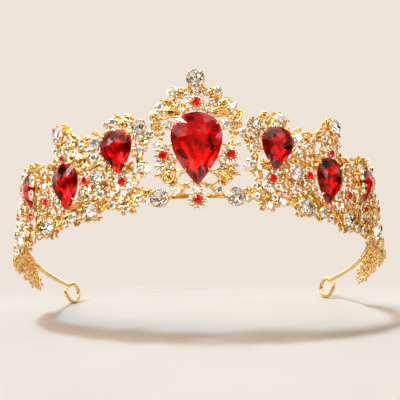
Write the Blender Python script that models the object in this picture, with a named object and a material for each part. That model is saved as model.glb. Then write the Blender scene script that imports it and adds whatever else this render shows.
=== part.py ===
"""A costume tiara: a flat gold band bent to a U, two wire arms that end in eyes, cast openwork
panels soldered round the band, and cup settings that hold red pear stones and clear round stones.

Lengths are written in millimetres and turned into metres when a mesh is made. A place on the
crown is (angle, height, out): degrees round the head from the centre front, millimetres up the
flared wall from the middle of the band, and millimetres outward from the band's outer face.
"""

import math

import bmesh
import bpy
from mathutils import Vector

MM = 0.001
GAP = 0.3  # clearance between two pieces that touch on the real crown

# The band's outer face in plan: half an ellipse in front, then arms that draw in behind.
HALF_WIDTH = 65.5
FRONT_DEPTH = 62.0
ARM_DEPTH = 98.0
LOWEST = 7.11  # how far the end leaves hang below the middle of the band
CENTRE_SHIFT = 6.08  # moves the middle of the whole crown onto the origin

# The wall leans out in front and turns under at the ends, where it also stands off the band.
FRONT_FLARE = 8.0
END_FLARE = -14.0
FLARE_TURNS = (62.0, 96.0)
STANDOFF = 1.6
STANDOFF_GROWS = (46.0, 78.0)
# Past the band's end the last leaves draw in again, close under the wire arm.
TIP_DRAWS_IN = (95.0, 107.0)
TIP_STANDOFF = 0.6
TIP_FLARE = -2.0

BAND_HEIGHT = 1.5
BAND_THICKNESS = 0.8
BAND_END = 101.0
BAND_STEP = 4.6
PAD_ANGLES = (62.0, 78.0, 94.0)
PAD_HALF_HEIGHT = 0.45

ARM_START = 101.6
ARM_END = 123.6
ARM_RADIUS = 0.9
ARM_RISE = 1.1  # how much higher the arm's far end is
EYE_RADIUS = 3.6
EYE_WIRE_RADIUS = 0.75
EYE_SWING = 8.0  # degrees that the eye is turned inward from the arm's own direction
EYE_FROM = math.radians(140.0)  # where the wire joins its ring, from the arm's direction
EYE_TO = math.radians(-182.0)
EYE_LEAD = 0.9
EYE_SPREAD = 0.5
EYE_STEPS = 24
ARM_STEPS = 8
WIRE_SIDES = 7

PANEL_THICKNESS = 1.0
PANEL_BACK = GAP
PANEL_FRONT = PANEL_BACK + PANEL_THICKNESS
PANEL_STEP = 5.0
SETTING_BACK = PANEL_FRONT + GAP
SETTING_WALL = 0.55
SETTING_FLOOR = 0.5
DEGREE_LENGTH = 1.13  # millimetres of wall in one degree

PEAR_SIDES = 18
PEAR_POINT = 0.95  # 1 gives a sharp point, and 0 a circle
ROUND_SIDES = 12

GOLD = ("gold_alloy", (0.83, 0.52, 0.16), 0.24, 1.0)
BRIGHT_GOLD = ("bright_gold_alloy", (0.90, 0.62, 0.24), 0.18, 1.0)
RED = ("red_crystal", (0.55, 0.0, 0.02), 0.05, 0.0)
CLEAR = ("clear_crystal", (0.93, 0.94, 0.96), 0.04, 0.0)

# Pear stones: angle, height of the middle, width, length, lean of the point toward the front.
PEARS = {
    "centre": (0.0, 15.8, 18.4, 26.4, 0.0),
    "inner": (23.1, 17.1, 12.2, 16.2, 3.0),
    "outer": (41.5, 8.8, 12.6, 17.2, 1.0),
    "side": (59.0, 12.3, 10.0, 12.8, 0.0),
}

# Round stones: angle, height, diameter. Those off the centre line come in mirrored pairs.
ROUNDS = {
    "crest": (0.0, 41.3, 6.0),
    "front_drop": (11.2, -0.8, 6.2),
    "shoulder_drop": (33.5, -1.6, 5.6),
    "corner_drop": (51.6, -2.6, 5.6),
    "temple_drop": (68.6, -2.8, 6.0),
    "upper_inner": (16.3, 25.4, 4.9),
    "peak": (43.2, 29.5, 5.0),
    "between_pears": (30.0, 9.8, 5.3),
}

# Panel outlines, going round from the upper corner nearest the front, as (angle, height).
CENTRE_HALF = [
    (0.0, 44.2), (2.4, 43.2), (3.0, 40.6), (4.4, 38.8), (6.6, 39.2), (8.0, 37.2), (8.3, 34.6),
    (11.2, 33.6), (12.0, 31.0), (10.8, 28.2), (10.6, 24.8), (12.9, 23.6), (13.1, 21.2),
    (11.2, 19.6), (11.4, 17.6), (13.1, 15.6), (12.9, 12.6), (10.4, 10.8), (9.3, 8.8),
    (10.4, 6.4), (9.0, 3.2), (10.4, 1.4), (13.0, 1.2), (13.0, -1.4), (8.4, -1.8),
    (5.4, -2.6), (3.4, -4.4), (0.0, -5.2),
]
INNER = [
    (13.9, 24.6), (14.4, 27.2), (17.0, 28.2), (19.4, 27.4), (21.2, 28.8), (22.6, 31.0),
    (25.2, 31.2), (26.8, 29.4), (27.4, 26.6), (28.2, 25.0), (28.3, 12.0), (28.3, -1.4),
    (25.2, -2.0), (24.0, -4.4), (21.8, -5.4), (19.8, -4.4), (18.6, -1.8), (14.4, -1.5),
    (14.4, 1.4), (16.6, 3.0), (18.4, 6.0), (16.6, 8.0), (14.4, 9.6), (14.0, 12.4),
    (15.0, 15.2), (14.2, 18.0), (14.0, 21.0),
]
OUTER = [
    (29.0, 25.0), (31.0, 25.8), (33.2, 25.0), (35.6, 25.4), (38.0, 25.0), (39.8, 27.0),
    (40.6, 31.0), (43.0, 32.6), (45.2, 31.4), (46.0, 28.0), (46.6, 24.4), (46.9, 21.4),
    (46.9, 8.0), (46.9, -3.6), (44.4, -4.2), (41.5, -4.8), (38.6, -3.6), (36.4, -4.4),
    (33.5, -5.2), (30.8, -4.0), (29.1, -1.6), (29.0, 12.0),
]
SIDE = [
    (47.7, 20.8), (49.8, 19.6), (52.6, 19.4), (55.0, 21.4), (58.0, 23.4), (61.2, 23.6),
    (64.0, 21.0), (66.0, 17.2), (69.2, 14.2), (72.3, 12.6), (72.4, 3.0), (72.3, -6.0),
    (69.0, -6.6), (65.4, -5.6), (60.5, -5.0), (56.0, -5.8), (51.8, -6.2), (47.8, -4.2),
    (47.6, 8.0),
]
END = [
    (73.2, 12.2), (76.5, 12.4), (80.0, 10.4), (84.0, 7.6), (88.0, 5.4), (92.0, 3.8),
    (95.5, 4.0), (98.2, 5.0), (100.4, 3.6), (102.6, 1.4), (105.6, 0.0), (108.4, -1.6),
    (110.4, -4.2), (109.2, -6.4), (106.0, -6.9), (102.4, -6.3), (98.6, -6.9), (94.8, -6.9),
    (91.0, -6.6), (87.0, -7.0),
    (82.0, -6.4), (77.5, -6.6), (73.2, -6.0), (73.1, 3.0),
]

# Oval windows cut through each panel: angle, height, half width, half height.
CENTRE_WINDOWS = [
    (3.4, 35.2, 1.0, 1.4), (8.7, 31.2, 1.5, 1.2), (3.2, 30.2, 1.5, 1.1), (8.9, 26.4, 0.8, 1.4),
    (9.2, 21.8, 0.9, 1.5), (9.8, 14.2, 1.3, 1.3), (6.8, 6.0, 1.1, 1.5), (3.4, 1.6, 1.2, 1.2),
]
WINDOWS = {
    "centre": CENTRE_WINDOWS + [(-angle, *rest) for angle, *rest in CENTRE_WINDOWS],
    "inner": [
        (16.8, 24.0, 1.2, 1.6), (16.8, 18.4, 0.9, 1.6), (16.8, 12.4, 1.2, 1.5), (20.6, 26.2, 1.2, 1.2),
        (24.4, 27.0, 1.5, 1.3), (20.4, 8.2, 0.9, 1.2), (25.2, 9.4, 1.3, 1.5), (22.2, 3.6, 1.6, 1.3),
        (26.2, 3.8, 1.0, 1.4), (21.9, -3.0, 1.2, 0.9),
    ],
    "outer": [
        (31.4, 21.2, 1.3, 1.6), (35.0, 21.0, 1.2, 1.6), (38.6, 21.6, 1.3, 1.5), (43.0, 27.6, 1.2, 1.5),
        (43.2, 21.4, 1.6, 1.5), (31.6, 15.4, 1.2, 1.3), (35.8, 15.8, 1.1, 1.4), (36.0, 7.4, 0.9, 1.6),
        (32.6, 4.0, 1.5, 1.2), (37.0, 1.0, 1.0, 1.1), (41.8, -1.2, 1.6, 1.0),
    ],
    "side": [
        (50.0, 15.2, 1.0, 1.6), (53.8, 16.4, 1.2, 1.4), (51.0, 9.6, 1.2, 1.5), (54.8, 8.2, 1.0, 1.4),
        (52.2, 3.4, 1.4, 1.2), (57.0, 3.0, 1.3, 1.2), (59.6, 20.0, 1.6, 1.0), (65.6, 11.8, 1.0, 1.8),
        (69.4, 9.2, 1.2, 1.6), (62.6, 3.4, 1.4, 1.4), (67.4, 3.4, 1.5, 1.2), (61.2, -1.8, 1.5, 1.0),
    ],
    "end": [
        (76.0, 8.2, 1.2, 1.6), (80.0, 5.8, 1.3, 1.3), (84.6, 3.4, 1.4, 1.1), (76.4, 2.2, 1.4, 1.4),
        (81.2, -0.2, 1.4, 1.3), (77.0, -3.2, 1.4, 1.0), (83.6, -3.8, 1.4, 1.0), (88.6, 0.2, 1.4, 1.2),
        (89.0, -4.2, 1.3, 0.9), (94.0, -1.2, 1.4, 1.3), (98.4, 1.2, 1.3, 1.2), (98.8, -3.4, 1.5, 1.1),
        (103.4, -3.0, 1.4, 1.4), (107.4, -4.2, 1.1, 1.0),
    ],
}
PANEL_PEAR = {"centre": "centre", "inner": "inner", "outer": "outer", "side": "side"}
WINDOW_SHARE = 0.74  # a pear's window in the panel, as a share of the stone
SMOOTHING = 2  # points added to each stretch of a panel's outline
WINDOW_SIDES = 7


def clear_scene():
    for obj in list(bpy.data.objects):
        bpy.data.objects.remove(obj, do_unlink=True)


def material(finish):
    name, colour, roughness, metallic = finish
    made = bpy.data.materials.get(name) or bpy.data.materials.new(name)
    made.use_nodes = True
    shader = made.node_tree.nodes["Principled BSDF"]
    shader.inputs["Base Color"].default_value = (*colour, 1.0)
    shader.inputs["Roughness"].default_value = roughness
    shader.inputs["Metallic"].default_value = metallic
    made.diffuse_color = (*colour, 1.0)
    return made


def eased(value, span):
    """0 before the span, 1 after it, and a smooth step between."""
    share = min(max((value - span[0]) / (span[1] - span[0]), 0.0), 1.0)
    return share * share * (3.0 - 2.0 * share)


def plan(angle):
    """The band's outer face in plan at an angle, and its outward normal."""
    turn = math.radians(abs(angle))
    if turn <= math.pi / 2:
        place = Vector((HALF_WIDTH * math.sin(turn), -FRONT_DEPTH * math.cos(turn), 0.0))
        along = Vector((HALF_WIDTH * math.cos(turn), FRONT_DEPTH * math.sin(turn), 0.0))
    else:
        turn -= math.pi / 2
        place = Vector((HALF_WIDTH * math.cos(turn), ARM_DEPTH * math.sin(turn), 0.0))
        along = Vector((-HALF_WIDTH * math.sin(turn), ARM_DEPTH * math.cos(turn), 0.0))
    along.normalize()
    outward = Vector((along.y, -along.x, 0.0))
    if angle < 0:
        place.x, outward.x = -place.x, -outward.x
    return place, outward


def standoff(angle):
    """How far the wall stands off the band at an angle."""
    drawn_in = (STANDOFF - TIP_STANDOFF) * eased(abs(angle), TIP_DRAWS_IN)
    return STANDOFF * eased(abs(angle), STANDOFF_GROWS) - drawn_in


def wall(angle, height, out):
    """A point of the flared wall, with its three directions: right, up the wall, and outward."""
    place, outward = plan(angle)
    flare = FRONT_FLARE + (END_FLARE - FRONT_FLARE) * eased(abs(angle), FLARE_TURNS)
    flare += (TIP_FLARE - END_FLARE) * eased(abs(angle), TIP_DRAWS_IN)
    flare = math.radians(flare)
    up = Vector((0.0, 0.0, math.cos(flare))) + outward * math.sin(flare)
    facing = outward * math.cos(flare) - Vector((0.0, 0.0, math.sin(flare)))
    right = up.cross(facing)
    out += standoff(angle)
    return place + up * height + facing * out, right, up, facing


def band_point(angle, height, out):
    """A point of the band, which stands upright whatever the wall does."""
    place, outward = plan(angle)
    return place + outward * out + Vector((0.0, 0.0, height))


def add_solid(name, points, faces, finish, sharp_angle=35.0):
    """Makes a named object from points in millimetres, with its faces turned outward."""
    mesh = bpy.data.meshes.new(name)
    lift = Vector((0.0, CENTRE_SHIFT, LOWEST))
    mesh.from_pydata([(point + lift) * MM for point in points], [], faces)
    shape = bmesh.new()
    shape.from_mesh(mesh)
    bmesh.ops.recalc_face_normals(shape, faces=shape.faces)
    shape.to_mesh(mesh)
    shape.free()
    mesh.shade_smooth()
    mesh.set_sharp_from_angle(angle=math.radians(sharp_angle))
    mesh.materials.append(material(finish))
    made = bpy.data.objects.new(name, mesh)
    bpy.context.scene.collection.objects.link(made)
    return made


def bridged(rings):
    """Points and faces of a closed body through rings of equal length, with both ends capped."""
    count = len(rings[0])
    points = [point for ring in rings for point in ring]
    faces = [list(range(count)), list(range(len(points) - count, len(points)))]
    for level in range(len(rings) - 1):
        for side in range(count):
            after = (side + 1) % count
            low, high = level * count, (level + 1) * count
            faces.append([low + side, low + after, high + after, high + side])
    return points, faces


def tube_rings(path, radii, sides):
    """Rings of a round wire along a path, each square to the path there."""
    rings = []
    guide = Vector((0.0, 0.0, 1.0))
    for index, centre in enumerate(path):
        before = path[max(index - 1, 0)]
        after = path[min(index + 1, len(path) - 1)]
        ahead = (after - before).normalized()
        across = (guide - ahead * guide.dot(ahead)).normalized()
        guide = across
        other = ahead.cross(across)
        ring = []
        for side in range(sides):
            turn = 2.0 * math.pi * side / sides
            offset = across * math.cos(turn) + other * math.sin(turn)
            ring.append(centre + offset * radii[index])
        rings.append(ring)
    return rings


def make_band():
    """The flat band, with a solder pad raised under each panel that stands off it."""
    count = int(round(2 * BAND_END / BAND_STEP))
    angles = [-BAND_END + 2 * BAND_END * step / count for step in range(count + 1)]
    half = BAND_HEIGHT / 2
    levels = (-half, -PAD_HALF_HEIGHT, PAD_HALF_HEIGHT, half)
    rings = []
    for angle in angles:
        padded = any(abs(abs(angle) - pad) < BAND_STEP * 0.6 for pad in PAD_ANGLES)
        reach = standoff(angle) if padded else 0.0
        ring = [band_point(angle, level, -BAND_THICKNESS) for level in reversed(levels)]
        for level in levels:
            pad = reach if abs(level) < half else 0.0
            ring.append(band_point(angle, level, pad))
        rings.append(ring)
    points, faces = bridged(rings)
    add_solid("base_band", points, faces, BRIGHT_GOLD)


def make_arm(name, side):
    """A round wire that carries the band back and is bent into an eye at its end."""
    path = []
    radii = []
    for step in range(ARM_STEPS):
        share = step / (ARM_STEPS - 1)
        angle = ARM_START + (ARM_END - ARM_START) * share
        rise = ARM_RISE * eased(share, (0.0, 1.0))
        path.append(band_point(side * angle, rise, -BAND_THICKNESS / 2))
        radii.append(ARM_RADIUS + (EYE_WIRE_RADIUS - ARM_RADIUS) * share)
    ahead = path[-1] - path[-2]
    ahead.z = 0.0
    ahead.normalize()
    swing = math.radians(EYE_SWING) * side
    turned = Vector((
        ahead.x * math.cos(swing) - ahead.y * math.sin(swing),
        ahead.x * math.sin(swing) + ahead.y * math.cos(swing),
        0.0,
    ))
    upward = Vector((0.0, 0.0, 1.0))
    aside = turned.cross(upward) * side
    start = turned * (EYE_RADIUS * math.cos(EYE_FROM)) + upward * (EYE_RADIUS * math.sin(EYE_FROM))
    centre = path[-1] + turned * EYE_LEAD - start
    for step in range(EYE_STEPS + 1):
        turn = EYE_FROM + (EYE_TO - EYE_FROM) * step / EYE_STEPS
        offset = turned * (EYE_RADIUS * math.cos(turn)) + upward * (EYE_RADIUS * math.sin(turn))
        path.append(centre + offset + aside * (EYE_SPREAD * step / EYE_STEPS))
        radii.append(EYE_WIRE_RADIUS)
    points, faces = bridged(tube_rings(path, radii, WIRE_SIDES))
    add_solid(name, points, faces, BRIGHT_GOLD, 60.0)


def smooth_outline(corners):
    """A closed outline through its corners, with points added on a Catmull-Rom curve."""
    count = len(corners)
    outline = []
    for index in range(count):
        a, b, c, d = (Vector(corners[(index + step) % count]) for step in (-1, 0, 1, 2))
        for step in range(SMOOTHING):
            t = step / SMOOTHING
            bend = (c - a) * t + (2 * a - 5 * b + 4 * c - d) * t**2 + (3 * b - a - 3 * c + d) * t**3
            outline.append(b + bend * 0.5)
    return outline


def pear_outline(width, length, sides):
    """A pear about the middle of its length: point down, round end up."""
    turns = [2.0 * math.pi * side / sides for side in range(sides)]
    widths = [math.sin(t) * abs(math.sin(t / 2)) ** PEAR_POINT for t in turns]
    widest = max(widths)
    return [(width / 2 * w / widest, -length / 2 * math.cos(t)) for w, t in zip(widths, turns)]


def oval_outline(width, length, sides):
    turns = [2.0 * math.pi * side / sides for side in range(sides)]
    return [(width / 2 * math.sin(t), -length / 2 * math.cos(t)) for t in turns]


def leaned(outline, lean):
    """The outline turned so that its lower end leans to the left for a positive angle."""
    turn = math.radians(-lean)
    cos, sin = math.cos(turn), math.sin(turn)
    return [(x * cos - y * sin, x * sin + y * cos) for x, y in outline]


def panel_sheet(outline, holes):
    """A flat triangulated sheet in (angle, height), split along lines of equal angle."""
    sheet = bmesh.new()
    edges = []
    for loop in [outline, *holes]:
        corners = [sheet.verts.new((x, y, 0.0)) for x, y in loop]
        for index, corner in enumerate(corners):
            edges.append(sheet.edges.new((corner, corners[(index + 1) % len(corners)])))
    bmesh.ops.triangle_fill(sheet, use_beauty=True, edges=edges)
    low = min(corner.co.x for corner in sheet.verts)
    high = max(corner.co.x for corner in sheet.verts)
    cut = low + PANEL_STEP
    while cut < high - PANEL_STEP / 3:
        everything = sheet.verts[:] + sheet.edges[:] + sheet.faces[:]
        bmesh.ops.bisect_plane(
            sheet, geom=everything, dist=0.02, plane_co=(cut, 0, 0), plane_no=(1, 0, 0)
        )
        cut += PANEL_STEP
    bmesh.ops.triangulate(sheet, faces=sheet.faces)
    sheet.verts.index_update()
    flat = [(corner.co.x, corner.co.y) for corner in sheet.verts]
    faces = [[corner.index for corner in face.verts] for face in sheet.faces]
    rim = [[end.index for end in edge.verts] for edge in sheet.edges if edge.is_boundary]
    sheet.free()
    return flat, faces, rim


def make_panel(name, outline, holes):
    flat, faces, rim = panel_sheet(outline, holes)
    count = len(flat)
    points = [wall(angle, height, PANEL_BACK)[0] for angle, height in flat]
    points += [wall(angle, height, PANEL_FRONT)[0] for angle, height in flat]
    solid = list(faces)
    solid += [[corner + count for corner in reversed(face)] for face in faces]
    solid += [[a, b, b + count, a + count] for a, b in rim]
    add_solid(name, points, solid, GOLD)


def mirrored(pairs):
    return [(-angle, height) for angle, height in reversed(pairs)]


def panel_holes(kind, side):
    """The windows of a panel: one behind its pear stone, and the small ovals."""
    holes = []
    if kind in PANEL_PEAR:
        angle, height, width, length, lean = PEARS[PANEL_PEAR[kind]]
        shape = leaned(pear_outline(width * WINDOW_SHARE, length * WINDOW_SHARE, PEAR_SIDES), lean)
        holes.append([(side * (angle + x / DEGREE_LENGTH), height + y) for x, y in shape])
    for angle, height, half_width, half_height in WINDOWS[kind]:
        shape = oval_outline(2 * half_width, 2 * half_height, WINDOW_SIDES)
        holes.append([(side * (angle + x / DEGREE_LENGTH), height + y) for x, y in shape])
    return holes


def make_panels():
    whole = CENTRE_HALF + mirrored(CENTRE_HALF[1:-1])
    make_panel("centre_panel", smooth_outline(whole), panel_holes("centre", 1))
    for kind, corners in (("inner", INNER), ("outer", OUTER), ("side", SIDE), ("end", END)):
        make_panel(f"{kind}_panel_right", smooth_outline(corners), panel_holes(kind, 1))
        make_panel(f"{kind}_panel_left", smooth_outline(mirrored(corners)), panel_holes(kind, -1))


def ring_on_wall(outline, scale, level, place):
    centre, right, up, facing = place
    return [centre + right * (x * scale) + up * (y * scale) + facing * level for x, y in outline]


def make_setting(name, outline, narrow, depth, place):
    """An open cup that follows a stone's outline, resting on the panel."""
    inner = 1.0
    outer = 1.0 + SETTING_WALL / narrow
    base = 0.82
    levels = [(base, 0.0), (outer, depth * 0.7), (outer, depth), (inner, depth), (base * 0.8, SETTING_FLOOR)]
    rings = [ring_on_wall(outline, scale, level, place) for scale, level in levels]
    points, faces = bridged(rings)
    add_solid(name, points, faces, GOLD)


def make_stone(name, outline, narrow, depth, finish, place):
    """A faceted stone: a small flat below, a girdle, and a table on top."""
    girdle = 1.0 - GAP * 1.15 / narrow
    rise = narrow * 0.34
    levels = [
        (0.25, SETTING_FLOOR + GAP),
        (girdle, depth - 0.2),
        (girdle, depth + 0.15),
        (girdle * 0.84, depth + rise * 0.62),
        (girdle * 0.56, depth + rise),
    ]
    rings = [ring_on_wall(outline, scale, level, place) for scale, level in levels]
    points, faces = bridged(rings)
    add_solid(name, points, faces, finish, 8.0)


def make_pears():
    for kind, (angle, height, width, length, lean) in PEARS.items():
        outline = pear_outline(width, length, PEAR_SIDES)
        depth = 1.6 + width * 0.085
        for side, suffix in ((1, "right"), (-1, "left")):
            if angle == 0.0 and side < 0:
                continue
            name = kind if angle == 0.0 else f"{kind}_{suffix}"
            turned = leaned(outline, lean * side)
            place = wall(side * angle, height, SETTING_BACK + pear_lift(width))
            make_setting(f"pear_setting_{name}", turned, width / 2, depth, place)
            make_stone(f"pear_stone_{name}", turned, width / 2, depth, RED, place)


def pear_lift(width):
    """A flat setting on a curved panel stands off at its middle, more so the wider it is."""
    radius = FRONT_DEPTH
    return (width / 2) ** 2 / (2 * radius) * 0.35


def make_rounds():
    for kind, (angle, height, diameter) in ROUNDS.items():
        outline = oval_outline(diameter, diameter, ROUND_SIDES)
        depth = 2.2
        for side, suffix in ((1, "right"), (-1, "left")):
            if angle == 0.0 and side < 0:
                continue
            name = kind if angle == 0.0 else f"{kind}_{suffix}"
            place = wall(side * angle, height, SETTING_BACK)
            make_setting(f"cup_{name}", outline, diameter / 2, depth, place)
            make_stone(f"clear_stone_{name}", outline, diameter / 2, depth, CLEAR, place)


def main():
    clear_scene()
    make_band()
    make_arm("wire_arm_right", 1)
    make_arm("wire_arm_left", -1)
    make_panels()
    make_pears()
    make_rounds()


main()
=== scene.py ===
import math
import random
from collections import namedtuple

import bmesh
import bpy
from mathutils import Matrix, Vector
from mathutils.bvhtree import BVHTree


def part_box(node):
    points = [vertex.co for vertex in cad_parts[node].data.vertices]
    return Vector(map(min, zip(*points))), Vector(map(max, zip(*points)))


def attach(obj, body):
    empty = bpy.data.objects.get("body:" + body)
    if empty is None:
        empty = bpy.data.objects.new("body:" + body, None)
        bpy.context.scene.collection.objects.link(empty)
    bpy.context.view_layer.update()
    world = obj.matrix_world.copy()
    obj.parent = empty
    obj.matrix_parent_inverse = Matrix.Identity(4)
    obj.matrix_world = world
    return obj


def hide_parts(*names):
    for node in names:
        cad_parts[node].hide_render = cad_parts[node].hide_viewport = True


# Looks of the crown: gold openwork castings set with faceted stones, on a band with two wire arms.
# Lengths are in millimetres. A place on the crown is (angle, height, out): degrees round the head
# from the centre front, millimetres up the wall, and millimetres outward from the band's face.

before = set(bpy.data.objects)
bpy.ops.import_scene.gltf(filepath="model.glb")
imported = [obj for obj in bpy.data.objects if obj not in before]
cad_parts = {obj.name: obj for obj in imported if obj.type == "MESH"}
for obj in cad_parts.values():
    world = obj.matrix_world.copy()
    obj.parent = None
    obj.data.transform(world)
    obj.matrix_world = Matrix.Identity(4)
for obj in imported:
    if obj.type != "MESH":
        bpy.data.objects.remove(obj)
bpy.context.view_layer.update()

MM = 0.001
DRAWS = random.Random(11)

# The wall and the band as the CAD has them, put in place by the band's own box. Angles are in degrees.
HALF_WIDTH = 65.5
FRONT_DEPTH = 62.0
ARM_DEPTH = 98.0
FRONT_FLARE = 8.0
END_FLARE = -14.0
FLARE_TURNS = (62.0, 96.0)
STANDOFF = 1.6
STANDOFF_GROWS = (46.0, 78.0)
TIP_DRAWS_IN = (95.0, 107.0)
TIP_STANDOFF = 0.6
TIP_FLARE = -2.0
BAND_HEIGHT = 1.5
BAND_THICKNESS = 0.8
BAND_END = 101.0
DEGREE_LENGTH = 1.13  # of the wall, at the front

BAND_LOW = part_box("base_band")[0]
LIFT = Vector((0.0, BAND_LOW.y / MM + FRONT_DEPTH, BAND_LOW.z / MM + BAND_HEIGHT / 2))

SETTING_BACK = 1.6  # where the large stones' cups begin
WEB_OUT = 0.95  # middle of the thin connecting wires

# The wire arms, and the eyes they are bent into.
ARM_START = 101.6
ARM_END = 123.6
ARM_RADIUS = 0.9
ARM_RISE = 1.1
EYE_RADIUS = 3.6
EYE_WIRE_RADIUS = 0.75
EYE_SWING = 8.0  # degrees inward from the arm's own direction
EYE_FROM = math.radians(140.0)
EYE_TO = math.radians(-204.0)
EYE_LEAD = 0.9
EYE_SPREAD = 1.15

# Red pears: angle, height, width, length, lean.
PEARS = {
    "centre": (0.0, 15.8, 18.4, 26.4, 0.0),
    "inner": (23.1, 17.1, 12.2, 16.2, 3.0),
    "outer": (41.5, 8.8, 12.6, 17.2, 1.0),
    "side": (59.0, 12.3, 10.0, 12.8, 0.0),
}
# Large round clear stones: angle, height, diameter.
ROUNDS = {
    "crest": (0.0, 41.3, 6.0),
    "front_drop": (11.2, -0.8, 6.2),
    "shoulder_drop": (33.5, -1.6, 5.6),
    "corner_drop": (51.6, -2.6, 5.6),
    "temple_drop": (68.6, -2.8, 6.0),
    "upper_inner": (16.3, 25.4, 4.9),
    "peak": (43.2, 29.5, 5.0),
    "between_pears": (30.0, 9.8, 5.3),
}
PEAR_POINT = 0.95
PEAR_FOLDS = 8
FOUR_CLAWS = (0.125, 0.375, 0.625, 0.875)  # shares of the way round a stone
SMALL_CUP_DEPTH = 1.3
GIRDLE_SHARE = 0.09  # half the girdle's height, as a share of the crown's
STAR_RISE = 0.64
THIN_WIRE = 0.36  # radius

WALL_HEIGHT = 54.0  # of the unrolled wall, which the filling ornaments are strewn over
ROW_SHARE = 0.88  # distance between rows, as a share of the distance between columns
EDGE_RADIUS = 0.2  # of the spots that stand for a pear's edge
BAND_RADIUS = 0.1  # of the spots that stand for the band
OPEN_HALF = 12.2  # degrees; inside them the centre casting is mostly open

# Each casting takes the ornaments between its two angles.
REGIONS = {"centre": (0.0, 13.55), "inner": (13.55, 28.65), "outer": (28.65, 47.25),
           "side": (47.25, 72.75), "end": (72.75, 110.0)}

# Small clear stones in claws: angle, height, diameter, out.
CLEARS = [
    (0.0, 36.6, 1.8, 2.6), (2.4, 35.7, 2.2, 2.4), (6.0, 37.2, 3.3, 2.4), (4.6, 33.2, 2.1, 2.6),
    (3.4, 30.3, 1.9, 2.6), (10.2, 31.8, 3.1, 2.6), (8.5, 25.1, 3.4, 2.6), (13.2, 22.8, 3.0, 2.2),
    (0.0, 1.7, 3.1, 3.4), (6.1, 1.4, 3.0, 3.0), (11.9, 18.4, 1.7, 2.2),
    (9.4, 18.2, 1.5, 2.4), (11.5, 10.6, 1.9, 2.6), (9.0, 10.9, 1.7, 2.6), (7.2, 9.9, 1.6, 2.6),
    (16.7, 17.4, 2.8, 2.6), (15.2, 12.4, 1.9, 2.6), (16.7, 11.4, 2.3, 3.0), (18.2, 10.2, 2.1, 2.8),
    (21.7, -3.1, 2.8, 2.4), (24.2, 28.5, 3.3, 2.8), (17.4, 7.8, 1.9, 2.6), (18.6, 5.2, 1.8, 2.4),
    (20.2, 3.6, 2.2, 2.8), (24.4, 4.0, 2.1, 2.8), (26.4, 2.4, 1.8, 2.4), (27.0, 15.6, 2.9, 3.2),
    (29.9, 3.4, 3.2, 2.8), (30.4, 22.4, 4.2, 2.8), (32.6, 19.8, 2.6, 3.0), (31.4, 16.9, 3.2, 2.8),
    (35.6, 22.4, 2.4, 2.6), (36.4, 5.2, 2.1, 3.0), (34.0, 3.4, 1.7, 2.4), (41.3, -2.2, 3.9, 2.8),
    (45.7, 27.6, 2.6, 2.4), (46.1, 23.6, 2.4, 2.4), (40.2, 24.4, 2.6, 2.4), (37.4, 18.2, 2.0, 2.6),
    (61.6, 21.8, 2.8, 2.4), (58.5, -4.0, 2.6, 2.4),
    (50.0, 11.8, 2.2, 2.6), (51.4, 17.6, 2.2, 2.4), (57.4, 17.6, 2.0, 2.4), (64.8, 15.8, 2.4, 2.6),
    (65.4, 8.2, 2.6, 2.8), (69.0, 11.4, 2.6, 2.4), (56.4, 2.6, 2.4, 2.6), (64.4, 1.6, 2.4, 2.6),
    (69.6, 3.6, 2.4, 2.6), (78.0, 8.4, 2.4, 2.4), (82.6, 5.6, 2.6, 2.4), (77.4, -2.2, 2.6, 2.6),
    (83.4, -3.8, 2.2, 2.4), (87.6, 2.6, 2.4, 2.4), (91.0, -3.4, 2.4, 2.4), (94.6, 1.4, 2.2, 2.4),
]

# Red stones ringed by small clear ones: angle, height, red diameter, out.
FLOWERS = [
    (0.0, 33.0, 2.9, 2.8), (0.0, -1.9, 3.0, 3.4), (9.7, 14.3, 2.9, 3.0), (22.5, 6.6, 2.7, 2.9),
    (34.9, 9.6, 2.7, 2.9), (43.0, 19.7, 2.4, 2.8), (52.2, 6.4, 2.7, 2.8), (61.6, 4.2, 2.5, 2.8),
    (73.9, 7.8, 2.5, 2.6), (79.7, 2.2, 2.4, 2.6), (86.2, -1.0, 2.4, 2.6),
]

# Gold-rimmed marquise leaves: angle, height, length, width, turn from pointing right.
MARQUISES = [
    (8.3, 6.6, 4.8, 3.4, -52.0),
    (7.2, 29.6, 8.2, 3.3, 14.0), (11.9, 28.2, 4.6, 2.3, 60.0), (19.6, 29.2, 4.6, 2.0, 32.0),
    (21.4, 27.0, 4.0, 1.9, 70.0), (33.2, 24.2, 4.2, 1.9, 10.0),
    (38.4, 26.6, 4.2, 2.0, 50.0), (44.6, 24.6, 4.0, 2.0, 120.0), (49.4, 18.4, 4.2, 2.0, -20.0),
    (58.4, 21.4, 4.6, 2.2, 20.0), (66.8, 16.4, 4.4, 2.0, -40.0), (75.6, 11.0, 4.0, 1.8, -20.0),
]

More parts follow.
